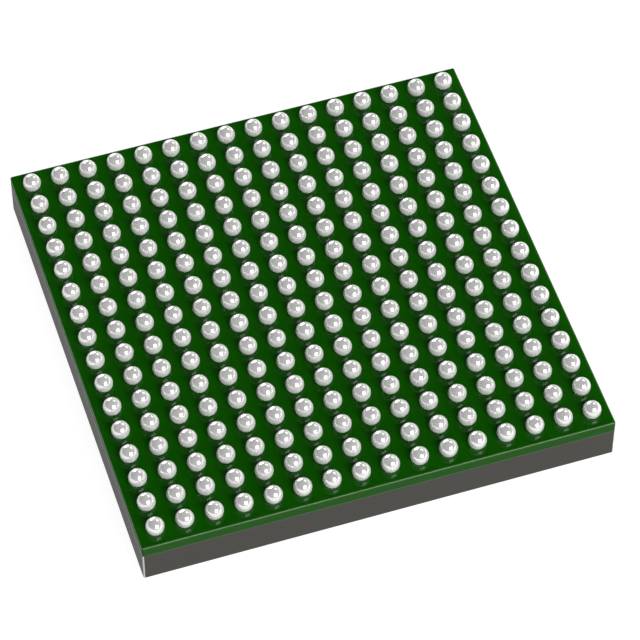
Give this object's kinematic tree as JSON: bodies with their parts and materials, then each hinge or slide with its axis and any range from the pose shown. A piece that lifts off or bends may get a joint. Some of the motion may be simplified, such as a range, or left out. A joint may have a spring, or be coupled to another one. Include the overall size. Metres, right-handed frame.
{
  "type": "microcontroller",
  "caption": "Microcontroller in a square moulded ball grid array package, lying balls up: dark grey cap, green-masked laminate and a full grid of solder balls.",
  "frame": {"origin": "centre of the marking face, which the part lies on, midway between its four edges", "axes": "+Z from the marking face to the solder balls; +Y towards row A; +X towards column 1, so corner A1 is at +X +Y"},
  "size_m": [0.013, 0.013, 0.0017],
  "materials": {
    "mould_compound": "fine matt moulded epoxy, saw-cut sides",
    "laminate": "sawn edge of glass and resin laminate",
    "solder_mask": "glossy green solder mask",
    "solder": "bright reflowed tin alloy",
    "copper": "bare copper",
    "gold": "drawn gold wire",
    "silicon": "ground silicon",
    "die_adhesive": "cured adhesive film"
  },
  "bodies": {
    "root": {"mould_cap": "mould_compound", "die": "silicon", "die_attach_film": "die_adhesive", "solder_mask_die_side": "solder_mask", "laminate_core": "laminate", "ball_lands": "copper", "solder_mask_ball_side": "solder_mask", "bond_fingers_front": "copper", "bond_fingers_right": "copper", "bond_fingers_back": "copper", "bond_fingers_left": "copper", "bond_wires_front": "gold", "bond_wires_right": "gold", "bond_wires_back": "gold", "bond_wires_left": "gold", "solder_balls_row_a": "solder", "solder_balls_row_b": "solder", "solder_balls_row_c": "solder", "solder_balls_row_d": "solder", "solder_balls_row_e": "solder", "solder_balls_row_f": "solder", "solder_balls_row_g": "solder", "solder_balls_row_h": "solder", "solder_balls_row_j": "solder", "solder_balls_row_k": "solder", "solder_balls_row_l": "solder", "solder_balls_row_m": "solder", "solder_balls_row_n": "solder", "solder_balls_row_p": "solder", "solder_balls_row_r": "solder", "solder_balls_row_t": "solder"}
  },
  "joints": []
}
